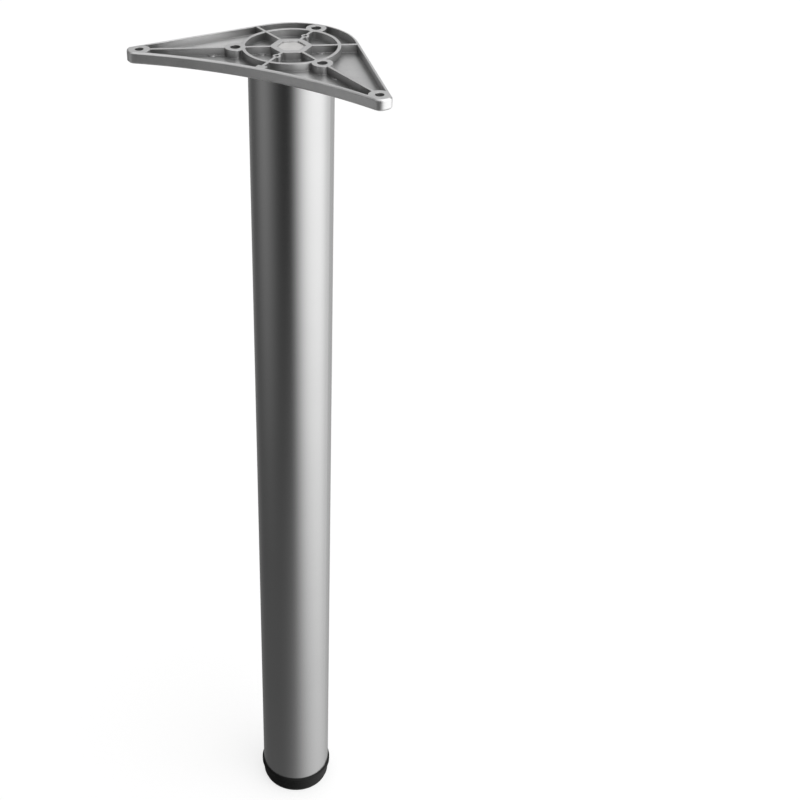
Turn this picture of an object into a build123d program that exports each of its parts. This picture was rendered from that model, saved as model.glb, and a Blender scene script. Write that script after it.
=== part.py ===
from build123d import *
from math import acos, cos, degrees, radians, sin, sqrt, tan
import os

# Table leg: steel tube, die-cast corner plate on top, levelling foot below. Millimetres, +Z up.
# The origin is on the tube's axis, on the floor. The plate's hollow edge faces -Y.

# Overall
leg_height = 710.0

# Leg tube
tube_diameter = 60.0
tube_wall = 1.2

# Mounting plate, plan shape
plate_back_radius = 46.5
plate_tip_radius = 7.4
plate_front_offset = 47.0
tip_hole_reach = 103.0
tip_half_angle = 60.0
tip_end_offset = 8.4
tip_back_round = 3.2
tip_front_round = 6.0

# Mounting plate, heights and walls
plate_height = 8.0
plate_floor = 2.6
plate_wall = 2.2
plate_lower_chamfer = 1.2
plate_upper_chamfer = 1.0

# Ribs on the plate's upper side
ring_rib_radius = 32.8
ring_rib_width = 2.4
spoke_width = 2.0
spoke_count = 6
ejector_boss_diameter = 5.6
ejector_hole_diameter = 2.8
ejector_boss_reach = 21.0
front_pad_width = 7.0
front_pad_depth = 4.0
floor_pad_diameter = 6.0
floor_pad_height = 0.5
spoke_pad_reach = 20.0
arm_pad_reach = 54.0

# Hub, bolt pocket and the boss below it
hub_width = 26.0
hub_corner_round = 6.0
hub_boss_diameter = 17.6
hub_boss_length = 5.0
hub_boss_root_chamfer = 1.4
bolt_head_sink = 0.8
gusset_width = 1.1
gusset_length = 2.6
gusset_height = 2.6

# Screw holes
ring_hole_pitch_diameter = 76.0
ring_hole_count = 3
ring_hole_diameter = 7.0
ring_hole_sink_depth = 4.6
tip_hole_diameter = 6.0
tip_hole_sink_depth = 3.0
screw_sink_diameter = 10.0
ring_boss_diameter = 14.4
ring_boss_web = 12.0

# Underside seat for the tube
seat_diameter = 84.0
seat_height = 1.2
seat_lobe_diameter = 13.6
seat_lobe_blend = 3.0
tube_seat_clearance = 0.75

# Bare rectangular field on the underside of one arm
field_length = 28.4
field_width = 7.2
field_depth = 0.3
field_x = 56.0
field_y = -40.0

# Threads and fasteners
thread_diameter = 10.0
bolt_head_width = 17.0
bolt_head_height = 6.4
bolt_length = 20.0
nut_width = 17.0
nut_height = 8.0
corner_turn_angle = 30.0
turned_blank = 0.6
thread_clearance = 0.08
turning_clearance = 0.08
bolt_hole_clearance = 0.25
hexagon_clearance = 0.2

# Steel disc welded in the tube's top
insert_thickness = 4.0
insert_wall_clearance = 0.1
insert_boss_gap = 0.5

# End plug
plug_flange_diameter = 62.8
plug_flange_thickness = 4.0
plug_flange_chamfer = 1.2
plug_barrel_length = 25.0
plug_barrel_wall = 2.4
plug_barrel_clearance = 0.9
plug_rib_count = 8
plug_rib_width = 1.6
plug_rib_clearance = 0.1
plug_hub_diameter = 26.0
plug_nut_seat = 8.0
plug_web_width = 2.0
plug_web_count = 4

# Levelling foot
foot_diameter = 59.4
foot_base_diameter = 57.2
foot_base_height = 3.0
foot_height = 12.5
foot_rest_gap = 0.5
foot_wall = 3.0
foot_floor = 3.0
foot_hub_diameter = 24.0
foot_web_count = 4
foot_web_width = 2.0
stud_length = 50.0
stud_head_diameter = 18.0
stud_head_height = 5.0

# Levels worked out from the sizes above
plate_top = leg_height
plate_under = plate_top - plate_height
cell_floor = plate_under + plate_floor
seat_face = plate_under - seat_height
hub_boss_end = plate_under - hub_boss_length
bolt_head_top = plate_top - bolt_head_sink
bolt_seat = bolt_head_top - bolt_head_height
insert_top = hub_boss_end - insert_boss_gap
insert_under = insert_top - insert_thickness
flange_under = foot_height + foot_rest_gap
tube_bottom = flange_under + plug_flange_thickness
tube_top = plate_under
plug_nut_under = flange_under + plug_nut_seat
stud_seat = foot_floor + stud_head_height

# Radii worked out from the sizes above
tube_radius = tube_diameter / 2
tube_bore_radius = tube_radius - tube_wall
thread_radius = thread_diameter / 2
nut_bore_radius = thread_radius + thread_clearance
bolt_hole_radius = thread_radius + bolt_hole_clearance
ring_hole_reach = ring_hole_pitch_diameter / 2

# Directions of the spokes, the screw holes and the two arms, in degrees from +X
back_angle = 90.0
spoke_angles = [back_angle + 360 / spoke_count * i for i in range(spoke_count)]
ring_hole_angles = [back_angle + 360 / ring_hole_count * i for i in range(ring_hole_count)]
arm_angles = [-back_angle - tip_half_angle, -back_angle + tip_half_angle]
side_angles = [back_angle - 360 / spoke_count, back_angle + 360 / spoke_count]


def polar(radius, angle, centre=(0.0, 0.0)):
    return (centre[0] + radius * cos(radians(angle)), centre[1] + radius * sin(radians(angle)))


def mirrored(point):
    return (-point[0], point[1])


def along_arm(reach, aside):
    # Point at a reach along the right-hand arm, and aside from its middle line towards the back.
    angle = radians(arm_angles[1])
    return (reach * cos(angle) - aside * sin(angle), reach * sin(angle) + aside * cos(angle))


def raised(sketch, low, high):
    return extrude(Plane.XY.offset(low) * sketch, amount=high - low)


def radial_bar(angle, start, end, width):
    # Flat bar in plan that runs outwards along one direction.
    return Rot(0, 0, angle) * Pos((start + end) / 2, 0) * Rectangle(end - start, width)


def hexagon(across_flats):
    # A corner points along +Y, in line with a spoke.
    return RegularPolygon(across_flats / sqrt(3), 6, rotation=back_angle)


def plate_outline(inset=0.0):
    # Round back, straight sides, two arms cut off square beyond their holes, and a hollow front edge.
    # The sides and the hollow edge pass each hole at the tip radius.
    back = plate_back_radius - inset
    tip = plate_tip_radius - inset
    front = plate_front_offset - inset
    end = tip_hole_reach + tip_end_offset - inset
    arm = arm_angles[1]
    hole_x, hole_y = polar(tip_hole_reach, arm)
    side = degrees(acos((back - tip) / tip_hole_reach))
    lead = front + hole_y
    hollow = (hole_x ** 2 + lead ** 2 - tip ** 2) / (2 * (tip - lead))
    hollow_x, hollow_y = -(front + hollow) * sin(radians(arm)), (front + hollow) * cos(radians(arm))
    side_start = polar(back, arm + side)
    side_corner = along_arm(end, (back - end * cos(radians(side))) / sin(radians(side)))
    front_corner = along_arm(end, sqrt(hollow ** 2 - (end - hollow_x) ** 2) - hollow_y)
    edges = [
        ThreePointArc(side_start, (0, back), mirrored(side_start)),
        Line(mirrored(side_start), mirrored(side_corner)),
        Line(mirrored(side_corner), mirrored(front_corner)),
        ThreePointArc(mirrored(front_corner), (0, -front), front_corner),
        Line(front_corner, side_corner),
        Line(side_corner, side_start),
    ]
    return make_face(edges)


def plate_ribs():
    # Everything on the upper side that stands up to the table, in plan.
    ribs = Circle(ring_rib_radius + ring_rib_width / 2) - Circle(ring_rib_radius - ring_rib_width / 2)
    ribs += fillet(hexagon(hub_width).vertices(), hub_corner_round)
    for angle in spoke_angles:
        ribs += radial_bar(angle, 0, ring_rib_radius, spoke_width)
    for angle in side_angles:
        ribs += radial_bar(angle, ring_rib_radius, plate_back_radius, spoke_width)
    ribs += radial_bar(-back_angle, ring_rib_radius, plate_front_offset, spoke_width)
    ribs += Pos(0, -plate_front_offset + (plate_wall + front_pad_depth) / 2) * Rectangle(
        front_pad_width, plate_wall + front_pad_depth
    )
    for angle in ring_hole_angles:
        ribs += Pos(*polar(ring_hole_reach, angle)) * Circle(ring_boss_diameter / 2)
        ribs += radial_bar(angle, ring_rib_radius, ring_hole_reach, ring_boss_web)
    for angle in arm_angles:
        ribs += radial_bar(angle, ring_hole_reach, tip_hole_reach, spoke_width)
        ribs += Pos(*polar(tip_hole_reach, angle)) * Circle(plate_tip_radius)
        ribs += radial_bar(angle, tip_hole_reach, tip_hole_reach + tip_end_offset, 2 * plate_tip_radius)
    for angle in (back_angle, -back_angle):
        place = Pos(*polar(ejector_boss_reach, angle))
        ribs += place * Circle(ejector_boss_diameter / 2)
        ribs -= place * Circle(ejector_hole_diameter / 2)
    return ribs


def plate_plan():
    # The outline with the corners of its two tips rounded, more so in front.
    plan = plate_outline()
    plan = fillet(plan.vertices().group_by(Axis.Y)[0], tip_front_round)
    corners = plan.vertices().group_by(Axis.X)
    return fillet(corners[0] + corners[-1], tip_back_round)


def floor_pads():
    # Low round pads left on the cell floors where the casting was pushed out of its die.
    spots = [polar(spoke_pad_reach, angle) for angle in side_angles + arm_angles]
    spots += [polar(arm_pad_reach, angle) for angle in arm_angles]
    return [Pos(*spot) * Circle(floor_pad_diameter / 2) for spot in spots]


def tube_seat():
    # Raised ring under the plate, with a lobe round each ring hole and a recess for the tube's end.
    plan = Sketch() + Circle(seat_diameter / 2)
    for angle in ring_hole_angles:
        plan += Pos(*polar(ring_hole_reach, angle)) * Circle(seat_lobe_diameter / 2)
    plan = offset(offset(plan, seat_lobe_blend), -seat_lobe_blend)
    ring = raised(plan, seat_face, plate_under)
    return ring - raised(Circle(tube_radius + tube_seat_clearance), seat_face, plate_under)


def hub_boss():
    # Round boss under the hub, with a sloped root where it leaves the seat's floor.
    side = hub_boss_diameter / 2
    root = side + hub_boss_root_chamfer
    root_end = plate_under - hub_boss_root_chamfer
    outline = Polyline(
        (0, plate_under), (0, hub_boss_end), (side, hub_boss_end), (side, root_end), (root, plate_under),
        close=True,
    )
    return revolve(Plane.XZ * make_face(outline), Axis.Z)


def hub_gusset(angle):
    # Thin triangular web between the lower boss and the seat's floor.
    inner = hub_boss_diameter / 2 - hub_boss_root_chamfer
    outer = hub_boss_diameter / 2 + gusset_length
    web = Polyline((inner, 0), (outer, 0), (inner, -gusset_height), close=True)
    solid = extrude(Plane.XZ * make_face(web), amount=gusset_width / 2, both=True)
    return Rot(0, 0, angle) * Pos(0, 0, plate_under) * solid


def make_mounting_plate():
    plate = raised(plate_plan(), plate_under, plate_top)
    plate = chamfer(plate.edges().group_by(Axis.Z)[0], plate_lower_chamfer)
    plate = chamfer(plate.edges().group_by(Axis.Z)[-1], plate_upper_chamfer)
    plate -= raised(plate_outline(plate_wall) - plate_ribs(), cell_floor, plate_top)
    for pad in floor_pads():
        plate += raised(pad, plate_under + plate_floor / 2, cell_floor + floor_pad_height)
    plate += tube_seat()

    plate += hub_boss()
    for angle in spoke_angles:
        plate += hub_gusset(angle)

    plate -= raised(hexagon(bolt_head_width + 2 * hexagon_clearance), bolt_seat, plate_top)
    plate -= raised(Circle(bolt_hole_radius), hub_boss_end, bolt_seat)
    for angle in ring_hole_angles:
        place = Pos(*polar(ring_hole_reach, angle))
        plate -= raised(place * Circle(ring_hole_diameter / 2), seat_face, plate_top)
        sink = place * Circle(screw_sink_diameter / 2)
        plate -= raised(sink, seat_face, seat_face + ring_hole_sink_depth)
    for angle in arm_angles:
        place = Pos(*polar(tip_hole_reach, angle))
        plate -= raised(place * Circle(tip_hole_diameter / 2), plate_under, plate_top)
        sink = place * Circle(screw_sink_diameter / 2)
        plate -= raised(sink, plate_under, plate_under + tip_hole_sink_depth)
    field = Pos(field_x, field_y) * Rectangle(field_length, field_width)
    plate -= raised(field, plate_under, plate_under + field_depth)
    return plate


def hexagon_prism(across_flats, height):
    # Hexagon from z = 0 up, with its corners turned off at the top.
    flat = across_flats / 2
    blank = across_flats * turned_blank
    drop = (blank - flat) * tan(radians(corner_turn_angle))
    outline = Polyline((0, 0), (blank, 0), (blank, height - drop), (flat, height), (0, height), close=True)
    turned = revolve(Plane.XZ * make_face(outline), Axis.Z)
    return turned & extrude(hexagon(across_flats), amount=height)


def threaded_shank(length):
    # Plain shank of the thread's outer size, from z = 0 down.
    return raised(Circle(thread_radius), -length, 0)


def make_plate_bolt():
    bolt = hexagon_prism(bolt_head_width, bolt_head_height) + threaded_shank(bolt_length)
    return Pos(0, 0, bolt_seat) * bolt


def make_nut():
    return raised(hexagon(nut_width) - Circle(nut_bore_radius), 0, nut_height)


def make_leg_tube():
    wall = Circle(tube_radius) - Circle(tube_bore_radius)
    return raised(wall, tube_bottom, tube_top)


def make_tube_insert():
    # Round disc with a hole for the plate bolt.
    disc = Circle(tube_bore_radius - insert_wall_clearance) - Circle(bolt_hole_radius)
    return raised(disc, insert_under, insert_top)


def make_end_plug():
    # Flange on the tube's end, ribbed barrel in its bore, and a webbed hub that holds the nut.
    flange_top = tube_bottom
    barrel_top = flange_top + plug_barrel_length
    hub_top = plug_nut_under + nut_height
    barrel_radius = tube_bore_radius - plug_barrel_clearance
    barrel_bore = barrel_radius - plug_barrel_wall
    flange = raised(Circle(plug_flange_diameter / 2), flange_under, flange_top)
    plug = chamfer(flange.edges().group_by(Axis.Z)[-1], plug_flange_chamfer)
    wall_middle = barrel_bore + plug_barrel_wall / 2
    rib_end = tube_bore_radius - plug_rib_clearance
    barrel = Circle(barrel_radius) - Circle(barrel_bore)
    for i in range(plug_rib_count):
        barrel += radial_bar(360 / plug_rib_count * i, wall_middle, rib_end, plug_rib_width)
    plug += raised(barrel, flange_top, barrel_top)
    webs = Sketch() + Circle(plug_hub_diameter / 2)
    for i in range(plug_web_count):
        webs += radial_bar(360 / plug_web_count * i, 0, wall_middle, plug_web_width)
    plug += raised(webs, flange_top, hub_top)
    plug -= raised(hexagon(nut_width + 2 * hexagon_clearance), plug_nut_under, hub_top)
    return plug - raised(Circle(bolt_hole_radius), flange_under, plug_nut_under)


def make_levelling_stud():
    # Threaded stud standing on a round head, which is moulded into the foot.
    head = raised(Circle(stud_head_diameter / 2), -stud_head_height, 0)
    stud = Rot(180, 0, 0) * threaded_shank(stud_length) + head
    return Pos(0, 0, stud_seat) * stud


def make_levelling_foot():
    # Moulded disc, closed below and drawn in towards the floor, with webbed cells above and a round
    # socket for the stud's head.
    rim = foot_diameter / 2
    outline = Polyline(
        (0, 0), (foot_base_diameter / 2, 0), (rim, foot_base_height), (rim, foot_height), (0, foot_height),
        close=True,
    )
    foot = revolve(Plane.XZ * make_face(outline), Axis.Z)
    cells = Circle(foot_diameter / 2 - foot_wall) - Circle(foot_hub_diameter / 2)
    for i in range(foot_web_count):
        cells -= radial_bar(360 / foot_web_count * i, 0, foot_diameter / 2, foot_web_width)
    foot -= raised(cells, foot_floor, foot_height)
    socket_radius = stud_head_diameter / 2 + turning_clearance
    foot -= raised(Circle(socket_radius), foot_floor - turning_clearance, stud_seat + turning_clearance)
    return foot - raised(Circle(thread_radius + turning_clearance), stud_seat, foot_height)


nodes = {
    "mounting_plate": make_mounting_plate(),
    "plate_bolt": make_plate_bolt(),
    "leg_tube": make_leg_tube(),
    "tube_insert": make_tube_insert(),
    "insert_nut": Pos(0, 0, insert_under - nut_height) * make_nut(),
    "end_plug": make_end_plug(),
    "plug_nut": Pos(0, 0, plug_nut_under) * make_nut(),
    "levelling_stud": make_levelling_stud(),
    "levelling_foot": make_levelling_foot(),
}

os.makedirs("parts", exist_ok=True)
for name, shape in nodes.items():
    export_step(shape, f"parts/{name}.step")
    print(name, "volume", round(shape.volume), "mm3")
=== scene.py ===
import math

import bpy
from mathutils import Matrix, Vector


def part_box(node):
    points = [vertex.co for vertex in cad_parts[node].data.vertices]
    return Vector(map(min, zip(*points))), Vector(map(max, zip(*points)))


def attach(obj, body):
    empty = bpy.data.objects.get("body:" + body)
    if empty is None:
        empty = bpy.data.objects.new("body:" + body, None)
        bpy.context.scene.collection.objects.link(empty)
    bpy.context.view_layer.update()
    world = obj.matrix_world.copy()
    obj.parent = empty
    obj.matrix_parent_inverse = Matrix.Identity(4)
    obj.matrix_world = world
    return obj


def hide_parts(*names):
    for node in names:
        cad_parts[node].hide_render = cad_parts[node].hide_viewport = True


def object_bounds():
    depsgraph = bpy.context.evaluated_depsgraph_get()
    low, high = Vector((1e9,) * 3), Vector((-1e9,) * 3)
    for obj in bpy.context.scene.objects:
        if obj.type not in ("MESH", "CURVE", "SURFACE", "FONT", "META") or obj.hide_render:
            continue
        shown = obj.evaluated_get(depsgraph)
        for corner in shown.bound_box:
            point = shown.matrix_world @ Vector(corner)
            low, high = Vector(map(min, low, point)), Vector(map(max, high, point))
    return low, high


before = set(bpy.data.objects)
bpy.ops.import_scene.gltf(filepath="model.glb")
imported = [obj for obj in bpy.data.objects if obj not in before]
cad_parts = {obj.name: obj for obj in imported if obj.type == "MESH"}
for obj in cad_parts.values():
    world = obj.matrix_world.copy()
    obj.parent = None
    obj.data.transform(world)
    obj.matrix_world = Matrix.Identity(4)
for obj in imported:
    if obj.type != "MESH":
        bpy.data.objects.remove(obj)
cadLow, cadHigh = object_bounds()
scene = bpy.context.scene
print("frame loaded:", ", ".join(sorted(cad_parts)))


class Wire:
    # one node socket that takes part in plain arithmetic
    def __init__(self, tree, socket=None):
        self.tree = tree
        self.socket = socket

    def add(self, kind, settings=None, sockets=None, out=0):
        node = self.tree.nodes.new(kind)
        for name, value in (settings or {}).items():
            setattr(node, name, value)
        for key, value in (sockets or {}).items():
            if isinstance(value, list):      # a socket that takes several links
                for wire in value:
                    self.tree.links.new(wire.socket, node.inputs[key])
            elif isinstance(value, Wire):
                self.tree.links.new(value.socket, node.inputs[key])
            else:
                node.inputs[key].default_value = value
        return Wire(self.tree, node.outputs[out]) if node.outputs else None

    def calc(self, operation, *terms):
        return self.add("ShaderNodeMath", {"operation": operation}, dict(enumerate(terms)))

    def __add__(self, other):
        return self.calc("ADD", self, other)

    def __radd__(self, other):
        return self.calc("ADD", other, self)

    def __sub__(self, other):
        return self.calc("SUBTRACT", self, other)

    def __rsub__(self, other):
        return self.calc("SUBTRACT", other, self)

    def __mul__(self, other):
        return self.calc("MULTIPLY", self, other)

    def __rmul__(self, other):
        return self.calc("MULTIPLY", other, self)

    def __truediv__(self, other):
        return self.calc("DIVIDE", self, other)

    def __pow__(self, other):
        return self.calc("POWER", self, other)

    def atLeast(self, floor):
        return self.calc("MAXIMUM", self, floor)

    def atMost(self, ceiling):
        return self.calc("MINIMUM", self, ceiling)

    def mapped(self, low, high, course):
        # 0 up to low, 1 from high on
        limits = {"Value": self, "From Min": low, "From Max": high}
        return self.add("ShaderNodeMapRange", {"interpolation_type": course}, limits)

    def smooth(self, low, high):
        return self.mapped(low, high, "SMOOTHSTEP")

    def ramp(self, low, high):
        return self.mapped(low, high, "LINEAR")

    def tint(self, dark, light):
        # a colour that goes from dark to light as this value goes from 0 to 1
        return self.add("ShaderNodeMix", {"data_type": "RGBA"}, {0: self, 6: dark, 7: light}, out=2)

    def axes(self):
        return [self.add("ShaderNodeSeparateXYZ", None, {0: self}, out=i) for i in range(3)]

    def dot(self, other):
        vectors = {0: self, 1: other}
        return self.add("ShaderNodeVectorMath", {"operation": "DOT_PRODUCT"}, vectors, out="Value")

    def stretched(self, scale):
        return self.add("ShaderNodeMapping", None, {"Vector": self, "Scale": scale})

    def noise(self, size, detail=2.0, roughness=0.5):
        values = {"Vector": self, "Scale": 1.0 / size, "Detail": detail, "Roughness": roughness}
        return self.add("ShaderNodeTexNoise", {"noise_dimensions": "3D"}, values)

    def relief(self, strength, depth, edge=None):
        # a normal that is raised by this height, over softened edges where they are given
        values = {"Height": self, "Strength": strength, "Distance": depth}
        if edge is not None:
            values["Normal"] = edge
        return self.add("ShaderNodeBump", None, values)


def grey(level, warmth=0.0):
    return (level * (1 + warmth), level, level * (1 - warmth), 1.0)


def newMaterial(name):
    material = bpy.data.materials.new(name)
    material.use_nodes = True
    material.node_tree.nodes.clear()
    return material, Wire(material.node_tree)


def onSurface(start):
    return start.add("ShaderNodeTexCoord", out="Object")


def shaded(tone, s, warmth=0.0):
    # from a finish's dark to its light, as the tone goes from its low to its high
    dark = grey(s["dark"], warmth)
    light = grey(s["light"], warmth)
    return tone.smooth(s["toneLow"], s["toneHigh"]).tint(dark, light)


def finishMaterial(start, sockets):
    shader = start.add("ShaderNodeBsdfPrincipled", None, sockets)
    start.add("ShaderNodeOutputMaterial", None, {"Surface": shader})


# die-cast plate: matt grey metal with a fine cast skin, with painted shade in its corners, and rubbed on
# its edges
castSettings = {
    # the grey the corners fade to is painted shade, not a colour of the metal
    "dark": 0.71, "light": 0.81, "paintedShadeGrey": 0.34, "rubbed": 0.87, "metallic": 0.84,
    "cloudSize": 0.016, "cloudDetail": 4.0, "skinSize": 0.0011, "skinDetail": 3.0, "grain": 0.6,
    "pitSize": 0.00035, "pitDetail": 1.0,
    "cloudShare": 0.6, "toneLow": 0.25, "toneHigh": 0.75,
    "recessReach": 0.01, "recessLow": 0.46, "recessHigh": 1.0, "recessSamples": 12,
    "edgeRadius": 0.0007, "edgeSamples": 6,
    "rubStart": 0.02, "rubEnd": 0.22, "rubSkinLow": 0.35, "rubSkinHigh": 0.65, "rubShare": 0.5,
    "roughness": 0.27, "skinRoughness": 0.12, "cloudRoughness": 0.08, "rubPolish": 0.06,
    "skinDepth": 0.00006, "skinStrength": 0.5, "skinShare": 0.7,
}


def makeCastMetal():
    s = castSettings
    material, start = newMaterial("castMetal")
    place = onSurface(start)
    clouds = place.noise(s["cloudSize"], s["cloudDetail"], s["grain"])
    skin = place.noise(s["skinSize"], s["skinDetail"], s["grain"])
    pits = place.noise(s["pitSize"], s["pitDetail"])

    # rubbed bright along its edges, in patches
    edge = start.add("ShaderNodeBevel", {"samples": s["edgeSamples"]}, {"Radius": s["edgeRadius"]})
    outward = start.add("ShaderNodeNewGeometry", out="Normal")
    rub = (1.0 - edge.dot(outward)).smooth(s["rubStart"], s["rubEnd"])
    rub = rub * skin.smooth(s["rubSkinLow"], s["rubSkinHigh"])

    # painted shade: the base colour goes darker where its walls stand close, by ambient occlusion
    nearby = {"samples": s["recessSamples"], "only_local": True}
    paintedShadeOpenness = start.add("ShaderNodeAmbientOcclusion", nearby, {"Distance": s["recessReach"]}, out="AO")
    paintedShadeOpenness = paintedShadeOpenness.smooth(s["recessLow"], s["recessHigh"])

    tone = s["cloudShare"] * clouds + (1.0 - s["cloudShare"]) * skin
    colour = (s["rubShare"] * rub).tint(shaded(tone, s), grey(s["rubbed"]))
    roughness = s["roughness"] + s["skinRoughness"] * (skin - 0.5)
    roughness = roughness + s["cloudRoughness"] * clouds - s["rubPolish"] * rub
    height = s["skinShare"] * skin + (1.0 - s["skinShare"]) * pits
    finishMaterial(start, {
        # base colour with painted shade in the corners, from ambient occlusion
        "Base Color": paintedShadeOpenness.tint(grey(s["paintedShadeGrey"]), colour),
        "Metallic": s["metallic"],
        "Roughness": roughness,
        "Normal": height.relief(s["skinStrength"], s["skinDepth"], edge),
    })
    return material


# leg tube: satin steel, finely ground round its axis
satinSettings = {
    "dark": 0.605, "light": 0.635, "strokeShare": 0.4, "toneLow": 0.3, "toneHigh": 0.7,
    "strokeLength": 0.03, "strokeWidth": 0.00035, "cloudSize": 0.09,
    "roughness": 0.25, "strokeRoughness": 0.03, "anisotropy": 0.20,
    "strokeDepth": 0.000001, "strokeStrength": 0.4,
}


def makeSatinSteel():
    s = satinSettings
    material, start = newMaterial("satinSteel")
    place = onSurface(start)
    narrow = s["strokeLength"] / s["strokeWidth"]
    strokes = place.stretched((1.0, 1.0, narrow)).noise(s["strokeLength"])
    clouds = place.noise(s["cloudSize"])
    finishMaterial(start, {
        "Base Color": shaded(s["strokeShare"] * strokes + (1.0 - s["strokeShare"]) * clouds, s),
        "Metallic": 1.0,
        "Roughness": s["roughness"] + s["strokeRoughness"] * (strokes - 0.5),
        "Anisotropic": s["anisotropy"],
        "Normal": strokes.relief(s["strokeStrength"], s["strokeDepth"]),
    })
    return material


# bolt, nuts, disc and stud: bright zinc plating
platedSettings = {
    "dark": 0.88, "light": 0.97, "warmth": 0.012, "toneLow": 0.3, "toneHigh": 0.7, "metallic": 0.75,
    "cloudSize": 0.006, "cloudDetail": 3.0, "grainSize": 0.0005,
    "roughness": 0.30, "cloudRoughness": 0.10, "grainDepth": 0.00002, "grainStrength": 0.3,
}


def makePlatedSteel():
    s = platedSettings
    material, start = newMaterial("platedSteel")
    place = onSurface(start)
    clouds = place.noise(s["cloudSize"], s["cloudDetail"])
    grain = place.noise(s["grainSize"])
    finishMaterial(start, {
        "Base Color": shaded(clouds, s, s["warmth"]),
        "Metallic": s["metallic"],
        "Roughness": s["roughness"] + s["cloudRoughness"] * (clouds - 0.5),
        "Normal": grain.relief(s["grainStrength"], s["grainDepth"]),
    })
    return material


# end plug and foot: moulded black plastic with a fine spark texture
plasticSettings = {
    "dark": 0.005, "light": 0.011, "sparkShare": 0.5, "toneLow": 0.3, "toneHigh": 0.7,
    "sparkSize": 0.0006, "sparkGrain": 0.6, "flowSize": 0.02,
    "roughness": 0.5, "flowRoughness": 0.12, "specular": 0.2,
    "sparkDepth": 0.00004, "sparkStrength": 0.35, "edgeRadius": 0.0006, "edgeSamples": 4,
}


def makeBlackPlastic():
    s = plasticSettings
    material, start = newMaterial("blackPlastic")
    place = onSurface(start)
    spark = place.noise(s["sparkSize"], roughness=s["sparkGrain"])
    flow = place.noise(s["flowSize"])
    edge = start.add("ShaderNodeBevel", {"samples": s["edgeSamples"]}, {"Radius": s["edgeRadius"]})
    finishMaterial(start, {
        "Base Color": shaded(s["sparkShare"] * spark + (1.0 - s["sparkShare"]) * flow, s),
        "Roughness": s["roughness"] + s["flowRoughness"] * (flow - 0.5),
        "Specular IOR Level": s["specular"],
        "Normal": spark.relief(s["sparkStrength"], s["sparkDepth"], edge),
    })
    return material


finishes = {
    "castMetal": makeCastMetal(),
    "satinSteel": makeSatinSteel(),
    "platedSteel": makePlatedSteel(),
    "blackPlastic": makeBlackPlastic(),
}
nodeFinish = {
    "mounting_plate": "castMetal",
    "leg_tube": "satinSteel",
    "plate_bolt": "platedSteel",
    "tube_insert": "platedSteel",
    "insert_nut": "platedSteel",
    "plug_nut": "platedSteel",
    "levelling_stud": "platedSteel",
    "end_plug": "blackPlastic",
    "levelling_foot": "blackPlastic",
}
for nodeName, finishName in nodeFinish.items():
    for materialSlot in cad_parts[nodeName].material_slots:
        materialSlot.material = finishes[finishName]
print("finishes set on", len(nodeFinish), "nodes")


# levelling stud: the same stud with its metric thread cut
studSettings = {
    "threadDiameter": 0.010, "pitch": 0.0015, "threadDepth": 0.00092, "endChamfer": 0.0012,
    "headHeight": 0.005, "ringsPerTurn": 12, "cornersAround": 40,
    "crestEnd": 0.125, "rootStart": 0.75,      # shares of half a pitch
}


def newShapeTree(name, inputs):
    # an empty tree with named inputs: their wires, and the identifiers that a modifier sets them by
    tree = bpy.data.node_groups.new(name, "GeometryNodeTree")
    identifiers = {}
    for label, kind in inputs.items():
        identifiers[label] = tree.interface.new_socket(label, in_out="INPUT", socket_type=kind).identifier
    tree.interface.new_socket("Geometry", in_out="OUTPUT", socket_type="NodeSocketGeometry")
    source = tree.nodes.new("NodeGroupInput")
    wires = {label: Wire(tree, source.outputs[label]) for label in inputs}
    return tree, wires, identifiers


def studTree():
    s = studSettings
    sizes = ("Thread Diameter", "Pitch", "Thread Depth", "End Chamfer", "Length",
             "Head Diameter", "Head Height", "Seat Level")
    inputs = {label: "NodeSocketFloat" for label in sizes}
    inputs.update({"Rings": "NodeSocketInt", "Corners": "NodeSocketInt", "Finish": "NodeSocketMaterial"})
    tree, wires, identifiers = newShapeTree("threadedStud", inputs)
    start = Wire(tree)
    radius = wires["Thread Diameter"] * 0.5
    halfLength = wires["Length"] * 0.5

    # a plain shank, pulled in along one helix and at its upper end
    blank = start.add("GeometryNodeMeshCylinder", {"fill_type": "TRIANGLE_FAN"}, {
        "Vertices": wires["Corners"], "Side Segments": wires["Rings"],
        "Radius": radius, "Depth": wires["Length"],
    })
    side = Wire(tree, blank.socket.node.outputs["Side"])
    x, y, z = start.add("GeometryNodeInputPosition").axes()
    turn = z / wires["Pitch"] - y.calc("ARCTAN2", y, x) / (2 * math.pi)
    fromCrest = 2.0 * (turn.calc("FRACT", turn) - 0.5)
    groove = fromCrest.calc("ABSOLUTE", fromCrest).ramp(s["crestEnd"], s["rootStart"])
    cut = radius - wires["Thread Depth"] * groove
    endCut = radius - (z - (halfLength - wires["End Chamfer"])).atLeast(0.0)
    share = cut.atMost(endCut) / radius
    moved = start.add("ShaderNodeCombineXYZ", None, {"X": x * share, "Y": y * share, "Z": z})
    shank = start.add("GeometryNodeSetPosition", None, {"Geometry": blank, "Position": moved})
    shank = start.add("GeometryNodeSetShadeSmooth", None, {"Geometry": shank, "Selection": side})
    shankPlace = start.add("ShaderNodeCombineXYZ", None, {"Z": wires["Seat Level"] + halfLength})
    shank = start.add("GeometryNodeTransform", None, {"Geometry": shank, "Translation": shankPlace})

    head = start.add("GeometryNodeMeshCylinder", {"fill_type": "NGON"}, {
        "Vertices": wires["Corners"], "Radius": wires["Head Diameter"] * 0.5, "Depth": wires["Head Height"],
    })
    headMiddle = wires["Seat Level"] - wires["Head Height"] * 0.5
    headPlace = start.add("ShaderNodeCombineXYZ", None, {"Z": headMiddle})
    head = start.add("GeometryNodeTransform", None, {"Geometry": head, "Translation": headPlace})

    whole = start.add("GeometryNodeJoinGeometry", None, {"Geometry": [shank, head]})
    whole = start.add("GeometryNodeRealizeInstances", None, {"Geometry": whole})
    whole = start.add("GeometryNodeSetMaterial", None, {"Geometry": whole, "Material": wires["Finish"]})
    start.add("NodeGroupOutput", None, {"Geometry": whole})
    return tree, identifiers


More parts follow.
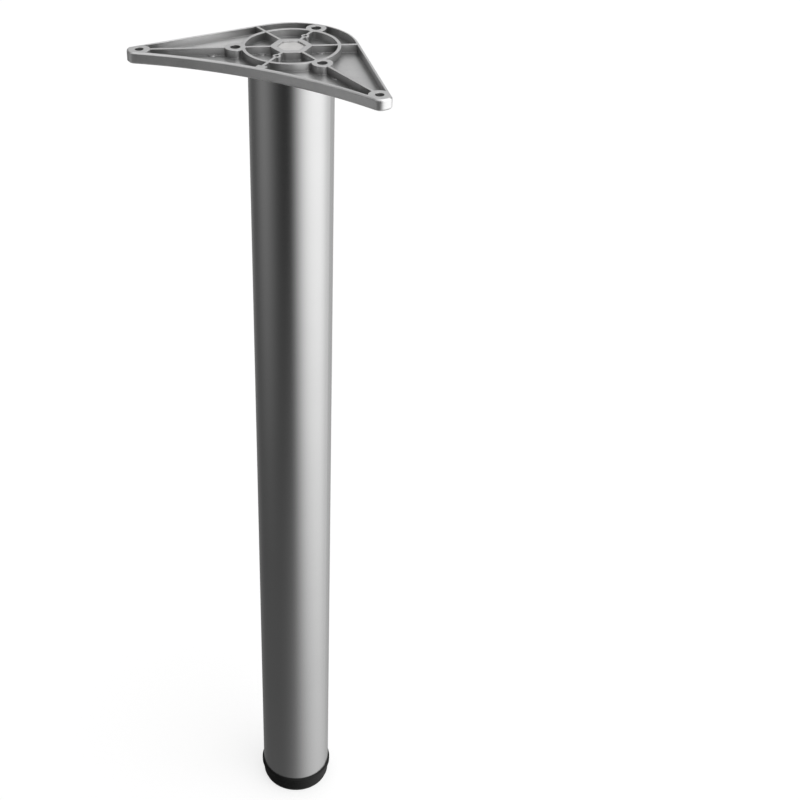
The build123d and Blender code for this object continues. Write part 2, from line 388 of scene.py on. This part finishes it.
def makeStud():
    s = studSettings
    low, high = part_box("levelling_stud")
    seat = low[2] + s["headHeight"]
    length = high[2] - seat
    values = {
        "Thread Diameter": s["threadDiameter"], "Pitch": s["pitch"], "Thread Depth": s["threadDepth"],
        "End Chamfer": s["endChamfer"], "Length": length, "Head Diameter": high[0] - low[0],
        "Head Height": s["headHeight"], "Seat Level": seat,
        "Rings": round(length / s["pitch"] * s["ringsPerTurn"]), "Corners": s["cornersAround"],
        "Finish": finishes["platedSteel"],
    }
    stud = bpy.data.objects.new("threadedStud", bpy.data.meshes.new("studBlank"))
    scene.collection.objects.link(stud)
    maker = stud.modifiers.new("threadedStud", "NODES")
    maker.node_group, identifiers = studTree()
    for label, value in values.items():
        maker[identifiers[label]] = value
    shaped = stud.evaluated_get(bpy.context.evaluated_depsgraph_get())
    stud.data = bpy.data.meshes.new_from_object(shaped)
    stud.modifiers.clear()
    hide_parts("levelling_stud")
    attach(stud, "stud")
    print("stud threaded:", len(stud.data.polygons), "faces")


makeStud()


# camera at the photograph's viewing angle
viewSettings = {
    "azimuth": 27.4, "distance": 0.9631, "heightAbovePlate": 0.3606,
    "tiltDown": 34.055, "roll": -0.38,
    "focalPixels": 1473.2, "axisColumn": 293.58, "frameWidth": 800.0, "sensorWidth": 36.0,
}


def placeCamera():
    s = viewSettings
    azimuth = math.radians(s["azimuth"])
    place = Vector((
        s["distance"] * math.sin(azimuth),
        -s["distance"] * math.cos(azimuth),
        cadHigh.z + s["heightAbovePlate"],
    ))
    turn = Matrix.Rotation(azimuth, 4, "Z")
    tilt = Matrix.Rotation(math.radians(90.0 - s["tiltDown"]), 4, "X")
    roll = Matrix.Rotation(math.radians(s["roll"]), 4, "Z")
    camera = bpy.data.objects.new("camera", bpy.data.cameras.new("camera"))
    scene.collection.objects.link(camera)
    camera.matrix_world = Matrix.Translation(place) @ turn @ tilt @ roll
    camera.data.sensor_width = s["sensorWidth"]
    camera.data.lens = s["focalPixels"] / s["frameWidth"] * s["sensorWidth"]
    camera.data.shift_x = 0.5 - s["axisColumn"] / s["frameWidth"]
    scene.camera = camera


placeCamera()
print("camera placed")


# white sheet that the leg stands on, and a pale wall far off
stageSettings = {
    "sheetColour": 0.94, "sheetGlow": 1.2, "sheetGlowShare": 0.6, "sheetRadius": 9.0, "sheetCorners": 96,
    "wallLevel": 1.0, "wallFoot": -0.1, "wallHeight": 9.0,
}


def stageObject(name, corners, faces, material):
    mesh = bpy.data.meshes.new(name)
    mesh.from_pydata(corners, [], faces)
    mesh.materials.append(material)
    stageItem = bpy.data.objects.new(name, mesh)
    scene.collection.objects.link(stageItem)
    return stageItem


def makeSheetPaper():
    s = stageSettings
    material, start = newMaterial("sheetPaper")
    paper = start.add("ShaderNodeBsdfDiffuse", None, {"Color": grey(s["sheetColour"])})
    glow = start.add("ShaderNodeEmission", None, {"Color": grey(1.0), "Strength": s["sheetGlow"]})
    seen = start.add("ShaderNodeLightPath", out="Is Camera Ray")
    seen = seen + start.add("ShaderNodeLightPath", out="Is Glossy Ray")
    seen = seen + start.add("ShaderNodeLightPath", out="Is Transmission Ray")
    share = s["sheetGlowShare"] * seen.atMost(1.0)      # white to the eye, and the shadow stays
    mixed = start.add("ShaderNodeMixShader", None, {0: share, 1: paper, 2: glow})
    start.add("ShaderNodeOutputMaterial", None, {"Surface": mixed})
    return material


def makeWallPaint():
    material, start = newMaterial("wallPaint")
    level = stageSettings["wallLevel"]
    glow = start.add("ShaderNodeEmission", None, {"Color": grey(1.0), "Strength": level})
    start.add("ShaderNodeOutputMaterial", None, {"Surface": glow})
    return material


def buildStage():
    s = stageSettings
    count = s["sheetCorners"]
    rim = []
    for i in range(count):
        angle = 2 * math.pi * i / count
        rim.append((s["sheetRadius"] * math.cos(angle), s["sheetRadius"] * math.sin(angle)))

    corners = [(x, y, 0.0) for x, y in rim]
    sheet = stageObject("floorSheet", corners, [tuple(range(count))], makeSheetPaper())
    sheet.visible_glossy = False     # the satin tube mirrors the room, as the real one does
    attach(sheet, "foot")           # the leg still stands on it when its foot is screwed out

    corners = [(x, y, s["wallFoot"]) for x, y in rim] + [(x, y, s["wallHeight"]) for x, y in rim]
    faces = []
    for i in range(count):
        j = (i + 1) % count
        faces.append((i, j, count + j, count + i))
    wall = stageObject("paleWall", corners, faces, makeWallPaint())
    wall.visible_diffuse = False
    wall.visible_glossy = False
    wall.visible_shadow = False


buildStage()
print("stage built")


# strengths of the room's soft light by direction: level with the leg, steeply below it, and above;
# a turn is in degrees round the leg, from the camera towards the right of the picture
lightSettings = {
    "keyTurn": 74.0, "keyEdge": 0.15, "keyFull": 1.05, "keyFade": 0.50, "fadeEdge": 0.1, "fadeFull": 0.9,
    "levelBase": 0.015, "levelKey": 1.46, "backTurn": 165.0, "levelBack": 0.55, "levelBackPower": 6.0,
    "sideTurn": -80.0, "sideLight": 0.27, "sidePower": 11.0, "sideStart": -0.40, "sideEnd": -0.62,
    "steepTurn": 92.0, "steepBase": 0.12, "steepKey": 0.58, "steepPower": 2.0,
    "steepStart": -0.43, "steepEnd": -0.76,
    "highTop": 1.3, "highTopPower": 4.0, "highFadePower": 4.0,
    "highKeyTurn": 58.0, "highKey": 1.95, "highKeyEdge": 0.4, "highKeyFull": 1.05,
    "highBackTurn": 170.0, "highBack": 0.54, "highBackPower": 6.0,
    "highStart": -0.10, "highEnd": 0.25,
    "leastSpread": 0.0001,      # keeps the division finite straight up and down
}


def facing(x, y, turn):
    # 1 toward that turn, -1 away from it
    angle = math.radians(viewSettings["azimuth"] + turn)
    return math.sin(angle) * x - math.cos(angle) * y


def lobe(x, y, turn, power):
    return (0.5 + 0.5 * facing(x, y, turn)).atLeast(0.0) ** power


def lightRoom():
    s = lightSettings
    world = bpy.data.worlds.new("softRoom")
    world.use_nodes = True
    world.node_tree.nodes.clear()
    start = Wire(world.node_tree)
    x, y, z = start.add("ShaderNodeTexCoord", out="Generated").axes()
    spread = (1.0 - z * z).atLeast(s["leastSpread"]) ** 0.5
    x = x / spread
    y = y / spread

    key = facing(x, y, s["keyTurn"]).smooth(s["keyEdge"], s["keyFull"])
    key = key * (1.0 - s["keyFade"] * facing(x, y, s["backTurn"]).smooth(s["fadeEdge"], s["fadeFull"]))
    level = s["levelBase"] + s["levelKey"] * key
    level = level + s["levelBack"] * lobe(x, y, s["backTurn"], s["levelBackPower"])

    steep = s["steepBase"] + s["steepKey"] * lobe(x, y, s["steepTurn"], s["steepPower"])
    low = steep + (level - steep) * z.ramp(s["steepEnd"], s["steepStart"])
    side = lobe(x, y, s["sideTurn"], s["sidePower"]) * z.ramp(s["sideEnd"], s["sideStart"])
    low = low + s["sideLight"] * side

    up = z.atLeast(0.0)
    around = s["highKey"] * facing(x, y, s["highKeyTurn"]).smooth(s["highKeyEdge"], s["highKeyFull"])
    around = around + s["highBack"] * lobe(x, y, s["highBackTurn"], s["highBackPower"])
    high = s["highTop"] * up ** s["highTopPower"] + around * (1.0 - up ** s["highFadePower"])

    strength = low + (high - low) * z.smooth(s["highStart"], s["highEnd"])
    glow = start.add("ShaderNodeBackground", None, {"Color": grey(1.0), "Strength": strength})
    start.add("ShaderNodeOutputWorld", None, {"Surface": glow})
    scene.world = world


lightRoom()
scene.view_settings.view_transform = "Standard"
print("light ready")
